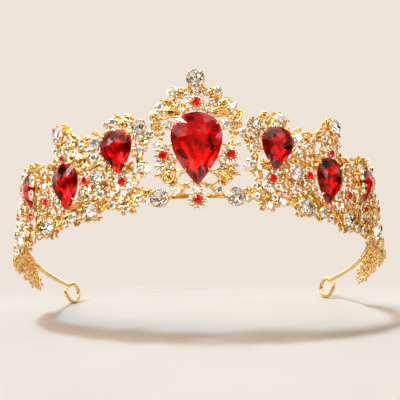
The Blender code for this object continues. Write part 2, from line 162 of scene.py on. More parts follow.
# Solid gold leaves: angle, height, length, width, turn from pointing right.
LEAVES = [
    (8.4, 33.6, 4.8, 2.2, 24.0), (12.4, 25.4, 3.8, 1.8, 80.0), (9.9, 9.2, 3.6, 2.0, -50.0),
    (6.6, 5.4, 3.8, 1.6, -100.0), (11.2, 7.8, 3.8, 2.0, -20.0), (3.6, 3.4, 3.6, 1.3, 28.0),
    (2.0, 37.9, 3.6, 1.9, 75.0), (3.7, 36.5, 3.8, 2.0, 40.0), (5.0, 34.8, 3.4, 1.9, 15.0),
    (12.9, 21.9, 4.4, 2.0, -48.0), (14.9, 19.4, 4.2, 2.0, -42.0),
    (14.7, 2.0, 3.4, 2.6, 40.0), (19.2, -2.2, 3.6, 1.8, 200.0), (24.2, -2.2, 3.6, 1.8, -20.0),
    (26.8, 25.2, 3.8, 1.9, -50.0), (26.6, 28.4, 3.2, 1.6, -20.0), (25.9, 7.0, 3.8, 2.0, 60.0),
    (28.0, 6.2, 4.2, 1.6, -40.0), (36.6, 2.0, 4.0, 2.2, -30.0), (38.4, -0.4, 3.6, 1.8, -70.0),
    (38.0, 14.0, 3.6, 1.7, 70.0), (34.2, 14.4, 4.0, 2.0, 20.0), (39.4, 19.4, 3.8, 2.0, 120.0),
    (46.2, 16.4, 3.6, 1.8, 60.0), (47.9, 2.4, 3.8, 2.0, -30.0), (55.6, 5.6, 3.8, 2.0, 30.0),
    (55.6, 12.8, 3.6, 1.8, 80.0), (64.8, 12.4, 3.8, 1.9, 80.0), (67.0, 6.4, 3.6, 1.8, -10.0),
    (101.2, -4.7, 4.2, 2.6, -50.0), (104.4, -5.0, 4.2, 2.4, -30.0), (97.8, -4.4, 4.0, 2.4, -70.0),
    (99.0, 2.9, 4.2, 2.0, 60.0), (102.2, 0.9, 4.0, 2.0, 10.0), (95.6, 2.8, 3.6, 1.7, 110.0),
    (94.2, -4.8, 3.8, 2.2, -60.0), (90.6, 1.8, 3.6, 1.8, 70.0), (86.8, -4.8, 3.4, 1.9, -60.0),
    (104.2, -1.2, 4.2, 2.2, 20.0), (106.8, -2.8, 4.2, 2.2, -10.0), (108.6, -4.8, 4.0, 2.4, -50.0),
    (106.0, -5.4, 3.8, 2.2, -70.0), (100.0, -1.2, 4.0, 2.0, 30.0), (96.6, -1.4, 3.8, 2.0, -20.0),
    (103.0, -3.2, 4.0, 2.0, 10.0),
]

# Tall oval stones in front of the side pears: angle, height, width, height of the stone, out.
OVALS = [(55.6, 15.4, 2.8, 4.8, 5.2), (56.6, 10.4, 2.8, 3.8, 5.4)]


def eased(value, span):
    """0 before the span, 1 after it, and a smooth step between."""
    share = min(max((value - span[0]) / (span[1] - span[0]), 0.0), 1.0)
    return share * share * (3.0 - 2.0 * share)


def plan(angle):
    """The band's outer face in plan at an angle, and its outward normal."""
    turn = math.radians(abs(angle))
    if turn <= math.pi / 2:
        place = Vector((HALF_WIDTH * math.sin(turn), -FRONT_DEPTH * math.cos(turn), 0.0))
        along = Vector((HALF_WIDTH * math.cos(turn), FRONT_DEPTH * math.sin(turn), 0.0))
    else:
        turn -= math.pi / 2
        place = Vector((HALF_WIDTH * math.cos(turn), ARM_DEPTH * math.sin(turn), 0.0))
        along = Vector((-HALF_WIDTH * math.sin(turn), ARM_DEPTH * math.cos(turn), 0.0))
    along.normalize()
    outward = Vector((along.y, -along.x, 0.0))
    if angle < 0:
        place.x, outward.x = -place.x, -outward.x
    return place, outward


def standoff(angle):
    """How far the wall stands off the band at an angle."""
    drawn_in = (STANDOFF - TIP_STANDOFF) * eased(abs(angle), TIP_DRAWS_IN)
    return STANDOFF * eased(abs(angle), STANDOFF_GROWS) - drawn_in


def wall(angle, height, out):
    """A point of the flared wall, with its three directions: right, up the wall, and outward."""
    place, outward = plan(angle)
    flare = FRONT_FLARE + (END_FLARE - FRONT_FLARE) * eased(abs(angle), FLARE_TURNS)
    flare += (TIP_FLARE - END_FLARE) * eased(abs(angle), TIP_DRAWS_IN)
    flare = math.radians(flare)
    up = Vector((0.0, 0.0, math.cos(flare))) + outward * math.sin(flare)
    facing = outward * math.cos(flare) - Vector((0.0, 0.0, math.sin(flare)))
    right = up.cross(facing)
    out += standoff(angle)
    return place + up * height + facing * out + LIFT, right, up, facing


def band_point(angle, height, out):
    place, outward = plan(angle)
    return place + outward * out + Vector((0.0, 0.0, height)) + LIFT


def turned(place, degrees):
    """The same place with its right and up directions turned about the facing one."""
    centre, right, up, facing = place
    cos, sin = math.cos(math.radians(degrees)), math.sin(math.radians(degrees))
    return centre, right * cos + up * sin, up * cos - right * sin, facing


def tipped(place, sideways, upward):
    """The same place with its facing direction tipped by small shares."""
    centre, right, up, facing = place
    facing = (facing + right * sideways + up * upward).normalized()
    right = up.cross(facing).normalized()
    up = facing.cross(right)
    return centre, right, up, facing


def at(place, x, y, z=0.0):
    centre, right, up, facing = place
    return centre + right * x + up * y + facing * z


class Batch:
    """Points and faces of many small closed shapes that become one object."""

    def __init__(self, name, slot, materials, replaced=()):
        self.name = name
        self.slot = slot
        self.materials = materials
        self.replaced = replaced
        self.points = []
        self.faces = []
        self.kinds = []
        self.smooth = []

    def add(self, points, faces, smooth=True, kinds=None):
        base = len(self.points)
        self.points.extend(points)
        for index, face in enumerate(faces):
            self.faces.append([base + corner for corner in face])
            self.kinds.append(kinds[index] if kinds else 0)
            self.smooth.append(smooth)

    def make(self):
        mesh = bpy.data.meshes.new(self.name)
        mesh.from_pydata([point * MM for point in self.points], [], self.faces)
        mesh.polygons.foreach_set("material_index", self.kinds)
        mesh.polygons.foreach_set("use_smooth", self.smooth)
        shape = bmesh.new()
        shape.from_mesh(mesh)
        bmesh.ops.recalc_face_normals(shape, faces=shape.faces)
        shape.to_mesh(mesh)
        shape.free()
        for finish in self.materials:
            mesh.materials.append(finish)
        piece = bpy.data.objects.new(self.name, mesh)
        bpy.context.scene.collection.objects.link(piece)
        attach(piece, "root")
        if self.replaced:
            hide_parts(*self.replaced)
        return piece


def bridged(rings, closed=False, skew=0):
    """Points and faces of a body through rings of equal length. Its ends are capped, or else its
    last ring joins the first, with its corners shifted by the skew."""
    count = len(rings[0])
    points = [point for ring in rings for point in ring]
    faces = []
    if not closed:
        faces = [list(range(count)), list(range(len(points) - count, len(points)))]
    for level in range(len(rings) if closed else len(rings) - 1):
        low, high = level * count, (level + 1) % len(rings) * count
        shift = skew if high == 0 else 0
        for side in range(count):
            after = (side + 1) % count
            near, far = low + (side + shift) % count, low + (after + shift) % count
            faces.append([near, far, high + after, high + side])
    return points, faces


def tube(batch, path, radii, sides, closed=False):
    """A round wire along a path; a single radius serves the whole path."""
    if not isinstance(radii, (list, tuple)):
        radii = [radii] * len(path)
    rings = []
    count = len(path)
    guide = None
    for index, centre in enumerate(path):
        if closed:
            before, after = path[index - 1], path[(index + 1) % count]
        else:
            before, after = path[max(index - 1, 0)], path[min(index + 1, count - 1)]
        ahead = (after - before).normalized()
        if guide is None:
            guide = Vector((0.0, 0.0, 1.0)) if abs(ahead.z) < 0.9 else Vector((1.0, 0.0, 0.0))
        across = (guide - ahead * guide.dot(ahead)).normalized()
        guide = across
        other = ahead.cross(across)
        ring = []
        for side in range(sides):
            turn = 2.0 * math.pi * side / sides
            ring.append(centre + (across * math.cos(turn) + other * math.sin(turn)) * radii[index])
        rings.append(ring)
    skew = 0
    if closed:
        # the carried guide can come back turned, so the last ring is matched to the first
        def gap(shift):
            return sum((rings[-1][(k + shift) % sides] - rings[0][k]).length for k in range(sides))
        skew = min(range(sides), key=gap)
    batch.add(*bridged(rings, closed, skew))



def bead(batch, centre, radius, sides, rings):
    points = [centre + Vector((0.0, 0.0, radius))]
    faces = []
    for level in range(1, rings):
        drop = math.pi * level / rings
        for side in range(sides):
            turn = 2.0 * math.pi * side / sides
            away = Vector((math.cos(turn) * math.sin(drop), math.sin(turn) * math.sin(drop), math.cos(drop)))
            points.append(centre + away * radius)
    points.append(centre - Vector((0.0, 0.0, radius)))
    for side in range(sides):
        after = (side + 1) % sides
        faces.append([0, 1 + side, 1 + after])
        for level in range(rings - 2):
            low, high = 1 + level * sides, 1 + (level + 1) * sides
            faces.append([low + side, high + side, high + after, low + after])
        faces.append([len(points) - 1, 1 + (rings - 2) * sides + after, 1 + (rings - 2) * sides + side])
    batch.add(points, faces)


def ring_at(place, outline, scale, level):
    return [at(place, x * scale, y * scale, level) for x, y in outline]


def pear_outline(width, length, sides):
    """A pear about the middle of its length: point down, round end up."""
    turns = [2.0 * math.pi * side / sides for side in range(sides)]

    def half_width(turn):
        return math.sin(turn) * abs(math.sin(turn / 2)) ** PEAR_POINT

    widths = [half_width(turn) for turn in turns]
    widest = max(half_width(step / 50) for step in range(157))  # over half a turn
    return [(width / 2 * w / widest, -length / 2 * math.cos(t)) for w, t in zip(widths, turns)]


def circle_outline(diameter, sides):
    turns = [2.0 * math.pi * side / sides for side in range(sides)]
    return [(diameter / 2 * math.sin(t), -diameter / 2 * math.cos(t)) for t in turns]


def marquise_outline(length, width, sides):
    """A pointed oval along x."""
    outline = []
    for side in range(sides):
        t = 2.0 * math.pi * side / sides
        pinch = abs(math.sin(t)) ** 0.25
        outline.append((length / 2 * math.cos(t), width / 2 * math.sin(t) * pinch))
    return outline


def cut_stone(batch, place, outline, folds, level, crown, depth, table=0.56, middle=0.52, low=0.56):
    """A faceted stone. The outline has an even number of steps for each half fold, and the girdle
    lies at the level. Crown faces are of kind 0, and the foiled pavilion faces are of kind 1."""
    count = len(outline)
    step = count // (2 * folds)
    band = crown * GIRDLE_SHARE
    star = (1.0 + table) / 2
    points = ring_at(place, outline, 1.0, level + band)
    points += ring_at(place, outline, 1.0, level - band)
    tables = len(points)
    points += ring_at(place, outline[:: 2 * step], table, level + crown)
    stars = len(points)
    points += ring_at(place, outline[step :: 2 * step], star, level + crown * STAR_RISE)
    lows = len(points)
    for number, (x, y) in enumerate(outline[step :: 2 * step]):
        uneven = 0.09 if number % 2 else -0.09
        points.append(at(place, x * middle, y * middle, level - depth * (low + uneven)))
    tip = len(points)
    points.append(at(place, 0.0, 0.0, level - depth))
    faces = [[tables + fold for fold in range(folds)]]
    kinds = [0]
    for fold in range(folds):
        after = (fold + 1) % folds
        start = fold * 2 * step
        faces.append([tables + fold, stars + fold, tables + after])
        faces.append([tables + fold, stars + fold - 1 if fold else stars + folds - 1, start, stars + fold])
        kinds += [0, 0]
        for part in range(2 * step):
            one, two = (start + part) % count, (start + part + 1) % count
            faces.append([stars + fold, one, two])
            faces.append([one, count + one, count + two, two])
            faces.append([lows + fold, count + two, count + one])
            kinds += [0, 0, 1]
        before = lows + fold - 1 if fold else lows + folds - 1
        faces.append([count + start, before, lows + fold])
        faces.append([tip, lows + fold, before])
        kinds += [1, 1]
    batch.add(points, faces, smooth=False, kinds=kinds)


def cup(batch, place, outline, depth, rim, base, wall_share, floor):
    """An open cup that follows a stone's outline, with a rounded rim."""
    outer = rim + wall_share
    levels = [
        (base * 0.5, 0.0), (base, 0.05), (base + 0.08, depth * 0.22), (outer * 0.97, depth * 0.72),
        (outer, depth * 0.86), (outer * 0.995, depth * 0.96), (rim + wall_share * 0.5, depth),
        (rim, depth * 0.95), (rim * 0.97, depth * 0.8), (base * 0.8, floor),
    ]
    rings = [ring_at(place, outline, scale, level) for scale, level in levels]
    batch.add(*bridged(rings))


def claws(batch, place, outline, spots, level, reach, thick):
    """Round-tipped claws that rise beside a stone and bend over its edge."""
    count = len(outline)
    for spot in spots:
        x, y = outline[int(round(spot * count)) % count]
        away = math.hypot(x, y)
        path = []
        for scale, rise in ((1.04, -1.1), (1.07, -0.4), (1.05, 0.25), (0.93, 0.62)):
            share = scale + thick * 0.25 / away
            path.append(at(place, x * share, y * share, level + reach * rise))
        tube(batch, path, [thick, thick, thick * 0.95, thick * 0.8], 6)
        bead(batch, path[-1], thick * 1.05, 6, 4)


def leaf(batch, place, length, width, lift=0.7, cup_depth=0.35, steps=7):
    """A pointed leaf along x from its stem, with a raised midrib and turned-up edges."""
    rings = []
    for step in range(steps + 1):
        t = step / steps
        half = max(width / 2 * math.sin(math.pi * (0.06 + 0.94 * t ** 0.8)) ** 0.85, 0.07)
        x = (t - 0.5) * length
        rise = lift * math.sin(math.pi * t * 0.8)
        rings.append([
            at(place, x, -half, rise + cup_depth * half * 0.5),
            at(place, x, -half * 0.5, rise + 0.08),
            at(place, x, 0.0, rise + 0.32),
            at(place, x, half * 0.5, rise + 0.08),
            at(place, x, half, rise + cup_depth * half * 0.5),
            at(place, x, half * 0.5, rise - 0.34),
            at(place, x, 0.0, rise - 0.4),
            at(place, x, -half * 0.5, rise - 0.34),
        ])
    batch.add(*bridged(rings))


def petal(batch, place, length, width):
    """A small blunt petal with a raised edge and a dip in its middle."""
    outline = [(x * length, y * width) for x, y in circle_outline(1.0, 10)]
    shape = ((0.55, -0.3), (0.94, -0.12), (1.0, 0.12), (0.86, 0.3), (0.45, 0.02))
    batch.add(*bridged([ring_at(place, outline, scale, level) for scale, level in shape]))


def rimmed_marquise(batch, place, length, width):
    """A hollow leaf with a raised wire round its edge and short side veins."""
    outline = marquise_outline(length, width, 20)
    edge = [at(place, x, y, 0.6 * math.cos(x / length * 2.4)) for x, y in outline]
    tube(batch, edge, THIN_WIRE, 6, closed=True)
    leaf(batch, (at(place, 0.0, 0.0, 0.1), *place[1:]), length * 0.94, width * 0.84, 0.3, 0.5)
    for x in (-length * 0.2, length * 0.2):
        for side in (-1, 1):
            tip = at(place, x + width * 0.3, side * width * 0.4, 0.62)
            tube(batch, [at(place, x, 0.0, 0.55), tip], THIN_WIRE * 0.55, 4)


def ringlet(batch, place, radius):
    path = []
    for step in range(12):
        turn = 2.0 * math.pi * step / 12
        path.append(at(place, radius * math.cos(turn), radius * math.sin(turn)))
    tube(batch, path, 0.34, 6, closed=True)


def curl(batch, place, radius):
    """A wire that winds in to a bead."""
    path = []
    radii = []
    turns = 1.25
    steps = 14
    for step in range(steps + 1):
        t = step / steps
        reach = radius * (1.0 - 0.72 * t)
        turn = 2.0 * math.pi * turns * t
        path.append(at(place, reach * math.cos(turn), reach * math.sin(turn), 0.5 * t))
        radii.append(THIN_WIRE * (1.0 - 0.25 * t))
    tube(batch, path, radii, 6)
    bead(batch, path[-1], THIN_WIRE * 1.5, 7, 4)


def set_round(gold, stones, place, diameter, height):
    """A small round stone in its claw cup; the place is the cup's foot."""
    outline = circle_outline(diameter, 16)
    cup(gold, place, outline, height * 0.92, rim=0.96, base=0.5, wall_share=0.1, floor=0.1)
    cut_stone(stones, place, outline, 8 if diameter > 2.6 else 4, height, diameter * 0.17, diameter * 0.4)
    claws(gold, place, outline, FOUR_CLAWS, height, diameter * 0.1 + 0.14, 0.12 + diameter * 0.04)


def set_flower(gold, clear, red, place, diameter):
    """A red stone in a cup, ringed by eight small clear stones with beads between them."""
    diameter += 0.3
    ring = diameter / 2 + 1.0
    ringed_by = 8
    disc = circle_outline(2.0 * ring + 0.7, 24)
    edge = ((0.9, -0.5), (1.0, -0.3), (1.0, 0.0), (0.92, 0.15))
    gold.add(*bridged([ring_at(place, disc, scale, level) for scale, level in edge]))
    set_round(gold, red, place, diameter, 1.6)
    for number in range(ringed_by):
        turn = 2.0 * math.pi * (number + 0.5) / ringed_by
        spot = (at(place, ring * math.cos(turn), ring * math.sin(turn), 0.0), *place[1:])
        outline = circle_outline(1.75, 16)
        cut_stone(clear, spot, outline, 4, 0.85, 0.32, 0.5)
        cup(gold, spot, outline, 0.85, rim=0.94, base=0.8, wall_share=0.12, floor=0.1)
        turn += math.pi / ringed_by
        outer = ring + 0.45
        bead(gold, at(place, outer * math.cos(turn), outer * math.sin(turn), 0.95), 0.24, 6, 4)



# ---------------------------------------------------------------- materials

class Graph:
    """A node tree in the making. An input is given as another node's output or as a plain value."""

    def __init__(self, tree):
        self.tree = tree

    def put(self, node, inputs):
        for key, value in inputs.items():
            if isinstance(value, bpy.types.NodeSocket):
                self.tree.links.new(value, node.inputs[key])
            else:
                node.inputs[key].default_value = value

    def add(self, kind, inputs=None, **settings):
        node = self.tree.nodes.new(f"ShaderNode{kind}")
        for name, value in settings.items():
            setattr(node, name, value)
        self.put(node, inputs or {})
        return node

    def noise(self, scale, detail):
        place = self.add("TexCoord").outputs["Object"]
        return self.add("TexNoise", {"Scale": scale, "Detail": detail, "Vector": place}).outputs["Fac"]

    def ramp(self, source, stops):
        node = self.add("ValToRGB", {"Fac": source})
        elements = node.color_ramp.elements
        while len(elements) < len(stops):
            elements.new(0.5)
        for element, (position, colour) in zip(elements, stops):
            element.position = position
            element.color = (*colour, 1.0)
        return node.outputs["Color"]

    def mapped(self, source, span, values=(0.0, 1.0), kind="LINEAR"):
        """The source carried from one span of values to another, and held at both ends."""
        inputs = {"Value": source, "From Min": span[0], "From Max": span[1]}
        inputs.update({"To Min": values[0], "To Max": values[1]})
        return self.add("MapRange", inputs, interpolation_type=kind).outputs["Result"]


def new_material(name):
    made = bpy.data.materials.new(name)
    made.use_nodes = True
    return made, Graph(made.node_tree), made.node_tree.nodes["Principled BSDF"]


def gold(name, light, deep, gloss, grain, bump):
    """Polished plated metal: colour drifts between two golds, with wear in the gloss."""
    made, graph, shader = new_material(name)
    relief = {"Strength": bump, "Distance": 0.00012, "Height": graph.noise(grain, 3.0)}
    graph.put(shader, {
        "Base Color": graph.ramp(graph.noise(260.0, 4.0), [(0.32, deep), (0.68, light)]),
        "Metallic": 1.0,
        "Roughness": graph.mapped(graph.noise(900.0, 4.0), (0.3, 0.7), gloss),
        "Normal": graph.add("Bump", relief).outputs["Normal"],
    })
    return made


def crystal(name, pale, deep, ior, shine):
    """Clear or tinted glass with faint zoning in its colour."""
    made, graph, shader = new_material(name)
    graph.put(shader, {
        "Base Color": graph.ramp(graph.noise(180.0, 2.0), [(0.35, deep), (0.65, pale)]),
        "Transmission Weight": 1.0,
        "IOR": ior,
        "Specular IOR Level": shine,
        "Roughness": graph.mapped(graph.noise(1500.0, 2.0), (0.55, 0.8), (0.0, 0.06)),
    })
    return made


def foil(name, pale, deep, mirror=1.0, rough=0.04):
    """The mirror coat behind a stone, duller behind a small one. The small clear stones have it on
    their faces too, in place of glass, which keeps them bright."""
    made, graph, shader = new_material(name)
    graph.put(shader, {
        "Base Color": graph.ramp(graph.noise(400.0, 2.0), [(0.3, deep), (0.7, pale)]),
        "Metallic": mirror,
        "Roughness": rough,
    })
    return made


CAST_GOLD = gold("cast_gold", (1.0, 0.74, 0.32), (0.94, 0.52, 0.12), (0.08, 0.24), 2600.0, 0.3)
WIRE_GOLD = gold("wire_gold", (0.96, 0.66, 0.24), (0.88, 0.54, 0.15), (0.08, 0.20), 1800.0, 0.15)
RED_GLASS = crystal("red_glass", (0.90, 0.003, 0.010), (0.74, 0.0, 0.005), 1.46, 0.28)
RED_FOIL = foil("red_foil", (0.98, 0.55, 0.5), (0.8, 0.3, 0.28))
DEEP_FOIL = foil("deep_foil", (0.24, 0.09, 0.08), (0.13, 0.04, 0.03))
CLEAR_GLASS = crystal("clear_glass", (1.0, 1.0, 1.0), (0.97, 0.97, 0.98), 1.6, 0.5)
SILVER_FOIL = foil("silver_foil", (1.0, 1.0, 1.0), (0.96, 0.94, 0.92))
SMALL_RED_FOIL = foil("small_red_foil", (1.0, 0.7, 0.65), (0.95, 0.5, 0.45), 0.4, 0.2)
BRIGHT_FOIL = foil("bright_foil", (1.0, 0.98, 0.94), (0.96, 0.93, 0.89), 0.5, 0.1)
SMALL_CLEAR = foil("small_clear", (0.98, 0.97, 0.96), (0.88, 0.87, 0.86), 0.88, 0.05)

# What each kind of stone is made of: its cut faces, then its backed ones.
RED_SET = [RED_GLASS, RED_FOIL]
DEEP_SET = [RED_GLASS, DEEP_FOIL]
SMALL_RED_SET = [RED_GLASS, SMALL_RED_FOIL]
CLEAR_SET = [CLEAR_GLASS, SILVER_FOIL]
SMALL_CLEAR_SET = [SMALL_CLEAR, BRIGHT_FOIL]



# ---------------------------------------------------------------- band and wire arms

def make_band():
    """The flat band with rounded edges, as a closed strip."""
    band = Batch("band_strip", "gold_band", [WIRE_GOLD], ["base_band"])
    half = BAND_HEIGHT / 2
    section = [
        (-half, -0.66), (-half * 0.96, -0.76), (-half * 0.8, -0.8), (half * 0.8, -0.8), (half * 0.96, -0.76),
        (half, -0.66), (half, -0.14), (half * 0.96, -0.04), (half * 0.8, 0.0), (half * 0.25, 0.06),
        (-half * 0.25, 0.06), (-half * 0.8, 0.0), (-half * 0.96, -0.04), (-half, -0.14),
    ]
    rings = []
    count = 200
    for step in range(count + 1):
        angle = -BAND_END + 2 * BAND_END * step / count
        rings.append([band_point(angle, height, out) for height, out in section])
    band.add(*bridged(rings))
    for side in (-1, 1):
        for pad in (62.0, 78.0, 94.0):
            reach = standoff(pad) + 0.7
            path = [band_point(side * pad, 0.0, share * reach) for share in (-0.1, 0.3, 0.7, 1.0)]
            tube(band, path, [0.7, 0.55, 0.5, 0.65], 10)
    band.make()


def make_arm(name, side):
    """A round wire that carries the band back and is bent into an eye at its end."""
    arm = Batch(f"{name}_wire", "gold_band", [WIRE_GOLD], [name])
    path = []
    radii = []
    steps = 18
    for step in range(steps):
        share = step / (steps - 1)
        angle = ARM_START + (ARM_END - ARM_START) * share
        rise = ARM_RISE * eased(share, (0.0, 1.0))
        path.append(band_point(side * angle, rise, -BAND_THICKNESS / 2))
        radii.append(ARM_RADIUS + (EYE_WIRE_RADIUS - ARM_RADIUS) * share)
    ahead = path[-1] - path[-2]
    ahead.z = 0.0
    ahead.normalize()
    swing = math.radians(EYE_SWING) * side
    along = Vector((
        ahead.x * math.cos(swing) - ahead.y * math.sin(swing),
        ahead.x * math.sin(swing) + ahead.y * math.cos(swing),
        0.0,
    ))
    upward = Vector((0.0, 0.0, 1.0))
    aside = along.cross(upward) * side
    start = along * (EYE_RADIUS * math.cos(EYE_FROM)) + upward * (EYE_RADIUS * math.sin(EYE_FROM))
    centre = path[-1] + along * EYE_LEAD - start
    bends = 44
    for step in range(bends + 1):
        turn = EYE_FROM + (EYE_TO - EYE_FROM) * step / bends
        offset = along * (EYE_RADIUS * math.cos(turn)) + upward * (EYE_RADIUS * math.sin(turn))
        path.append(centre + offset + aside * (EYE_SPREAD * eased(step / bends, (0.45, 1.0))))
        radii.append(EYE_WIRE_RADIUS)
    radii[0] *= 0.7
    radii[-1] *= 0.75
    tube(arm, path, radii, 14)
    arm.make()


# ---------------------------------------------------------------- large stones

def sided(kind, side):
    """The name of a piece on one side; those on the middle line have no side."""
    if kind in ("centre", "crest"):
        return kind
    return f"{kind}_{'right' if side > 0 else 'left'}"


def both_sides(rows):
    """Each row once on the middle line, or right and left: its side, its signed angle, the rest."""
    for angle, *rest in rows:
        for side in (1,) if angle == 0.0 else (1, -1):
            yield side, side * angle, *rest


def leaned(outline, lean):
    turn = math.radians(-lean)
    cos, sin = math.cos(turn), math.sin(turn)
    return [(x * cos - y * sin, x * sin + y * cos) for x, y in outline]


def make_pear(kind, side):
    """A red pear in its cup, set forward where the wall bends away behind its width."""
    angle, height, width, length, lean = PEARS[kind]
    name = sided(kind, side)
    outline = leaned(pear_outline(width * 0.985, length * 0.985, PEAR_FOLDS * 6), lean * side)
    lift = (width / 2) ** 2 / (2 * FRONT_DEPTH) * 0.35
    place = wall(side * angle, height, SETTING_BACK + lift)
    depth = 1.6 + width * 0.085
    setting = Batch(f"setting_{name}", "gold_casting", [CAST_GOLD], [f"pear_setting_{name}"])
    cup(setting, place, outline, depth - 0.15, rim=0.9, base=0.62, wall_share=0.07, floor=0.5)
    claws(setting, place, outline, (0.14, 0.38, 0.62, 0.86), depth, 0.7, 0.28)
    setting.make()
    looks = RED_SET if kind == "centre" else DEEP_SET
    stone = Batch(f"stone_{name}", "red_crystal", looks, [f"pear_stone_{name}"])
    crown = width * 0.125
    cut_stone(stone, place, outline, PEAR_FOLDS, depth, crown, depth + 1.0, table=0.46, middle=0.47, low=0.7)
    stone.make()


def make_round(kind, side):
    """A large round clear stone in its cup."""
    angle, height, diameter = ROUNDS[kind]
    name = sided(kind, side)
    place = wall(side * angle, height, SETTING_BACK)
    outline = circle_outline(diameter, 32)
    depth = 2.2
    setting = Batch(f"setting_{name}", "gold_casting", [CAST_GOLD], [f"cup_{name}"])
    cup(setting, place, outline, depth, rim=0.98, base=0.62, wall_share=0.12, floor=0.4)
    claws(setting, place, outline, FOUR_CLAWS, depth, 0.6, 0.33)
    setting.make()
    stone = Batch(f"stone_{name}", "clear_crystal", CLEAR_SET, [f"clear_stone_{name}"])
    cut_stone(stone, place, outline, 8, depth + 0.1, diameter * 0.19, diameter * 0.36, table=0.56)
    stone.make()


# ---------------------------------------------------------------- castings

def region_of(angle):
    for name, (low, high) in REGIONS.items():
        if low <= abs(angle) < high:
            return name
    return "end"


class Casting:
    """The three batches of one casting: its metal, small clear stones and small red stones."""

    def __init__(self, name):
        region, *side = name.split("_")
        panel = "_".join([region, "panel", *side])
        self.gold = Batch(f"casting_{name}", "gold_casting", [CAST_GOLD], [panel])
        self.clear = Batch(f"small_clear_{name}", "clear_crystal", SMALL_CLEAR_SET)
        self.red = Batch(f"small_red_{name}", "red_crystal", SMALL_RED_SET)
        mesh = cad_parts[panel].data
        points = [vertex.co.copy() for vertex in mesh.vertices]
        self.shape = BVHTree.FromPolygons(points, [tuple(face.vertices) for face in mesh.polygons])

    def covers(self, angle, height):
        """Whether the CAD panel lies behind this place."""
        centre, _, _, facing = wall(angle, height, 6.0)
        return self.shape.ray_cast(centre * MM, -facing, 8.0 * MM)[0] is not None


def flat(angle, height):
    """A place in the unrolled wall, in millimetres."""
    return Vector((angle * DEGREE_LENGTH, height))


# A spot of the unrolled wall that is taken. Wires are tied to it where it has an out.
Claim = namedtuple("Claim", "spot radius angle height out")


class Layout:
    """The nine castings, and what is taken of the wall."""

    def __init__(self):
        names = [sided(region, side) for region in REGIONS for side in (-1, 1)]
        self.castings = {name: Casting(name) for name in dict.fromkeys(names)}
        self.taken = []

    def pick(self, angle):
        """The casting at an angle."""
        return self.castings[sided(region_of(angle), angle)]

    def covers(self, angle, height):
        return self.pick(angle).covers(angle, height)

    def claim(self, angle, height, radius, out):
        self.taken.append(Claim(flat(angle, height), radius, angle, height, out))

    def room(self, angle, height):
        """How far a place is from the edge of the nearest taken spot."""
        here = flat(angle, height)
        return min((here - claim.spot).length - claim.radius for claim in self.taken)


def mirrored(turn, side):
    return turn if side > 0 else 180.0 - turn


def random_tip(most):
    return DRAWS.uniform(-most, most), DRAWS.uniform(-most, most)


def claim_large_stones(layout):
    for side, angle, height, width, length, lean in both_sides(PEARS.values()):
        outline = leaned(pear_outline(width, length, 14), lean * side)
        for x, y in outline:
            layout.claim(angle + x * 0.88 / DEGREE_LENGTH, height + y * 0.88, EDGE_RADIUS, 2.0)
        for x, y in outline[::2]:
            layout.claim(angle + x * 0.45 / DEGREE_LENGTH, height + y * 0.45, width * 0.26, None)
        layout.claim(angle, height, width * 0.3, None)
    for _, angle, height, diameter in both_sides(ROUNDS.values()):
        layout.claim(angle, height, diameter / 2 + 0.1, SETTING_BACK + 0.3)


def add_clears(layout):
    for _, angle, height, diameter, out in both_sides(CLEARS):
        casting = layout.pick(angle)
        place = tipped(wall(angle, height, out - 1.3), *random_tip(0.16))
        place = turned(place, DRAWS.uniform(0, 90))
        set_round(casting.gold, casting.clear, place, diameter, SMALL_CUP_DEPTH)
        layout.claim(angle, height, diameter / 2 + 0.1, out - 1.2)


def add_ovals(layout):
    """Each oval stands forward on a post that reaches back beside the pear."""
    for side, angle, height, width, length, out in both_sides(OVALS):
        casting = layout.pick(angle)
        place = wall(angle, height, out - 1.4)
        outline = [(x * width, y * length) for x, y in circle_outline(1.0, 16)]
        cup(casting.gold, place, outline, SMALL_CUP_DEPTH, rim=0.96, base=0.5, wall_share=0.12, floor=0.1)
        cut_stone(casting.clear, place, outline, 8, 1.4, 0.55, 1.2)
        claws(casting.gold, place, outline, FOUR_CLAWS, 1.4, 0.5, 0.26)
        foot = wall(angle - side * 1.5, height, 1.0)[0]
        tube(casting.gold, [foot, at(place, 0.0, 0.0, 0.4)], [0.7, 0.5], 8)


def add_flowers(layout):
    for _, angle, height, diameter, out in both_sides(FLOWERS):
        casting = layout.pick(angle)
        place = turned(wall(angle, height, out - 1.3), DRAWS.uniform(0, 45))
        set_flower(casting.gold, casting.clear, casting.red, place, diameter)
        layout.claim(angle, height, diameter / 2 + 1.7, out - 1.6)


def add_marquises(layout):
    for side, angle, height, length, width, turn in both_sides(MARQUISES):
        straight = wall(angle, height, 1.9)
        place = turned(straight, mirrored(turn, side))
        rimmed_marquise(layout.pick(angle).gold, place, length, width)
        layout.claim(angle, height, width / 2 + 0.3, 1.6)
        for share in (-0.3, 0.3):
            spot = at(place, length * share, 0.0) - place[0]
            beside = spot.dot(straight[1]) / DEGREE_LENGTH
            layout.claim(angle + beside, height + spot.z, width * 0.35, 1.6)


def add_leaves(layout):
    for side, angle, height, length, width, turn in both_sides(LEAVES):
        out = 1.5 if abs(angle) < 92.0 else 1.9
        place = tipped(wall(angle, height, out), *random_tip(0.2))
        leaf(layout.pick(angle).gold, turned(place, mirrored(turn, side)), length, width)
        layout.claim(angle, height, width / 2 + 0.2, 1.3)


def strewn(spacing, lowest, end, jitter):
    """Uneven places over the right half of the wall, row by row, as angle and height."""
    for row in range(int(WALL_HEIGHT / spacing)):
        for column in range(int(end * DEGREE_LENGTH / spacing) + 1):
            angle = (column + 0.5 * (row % 2)) * spacing / DEGREE_LENGTH + DRAWS.uniform(-jitter, jitter)
            height = lowest + row * spacing * ROW_SHARE + DRAWS.uniform(-jitter, jitter)
            yield angle, height


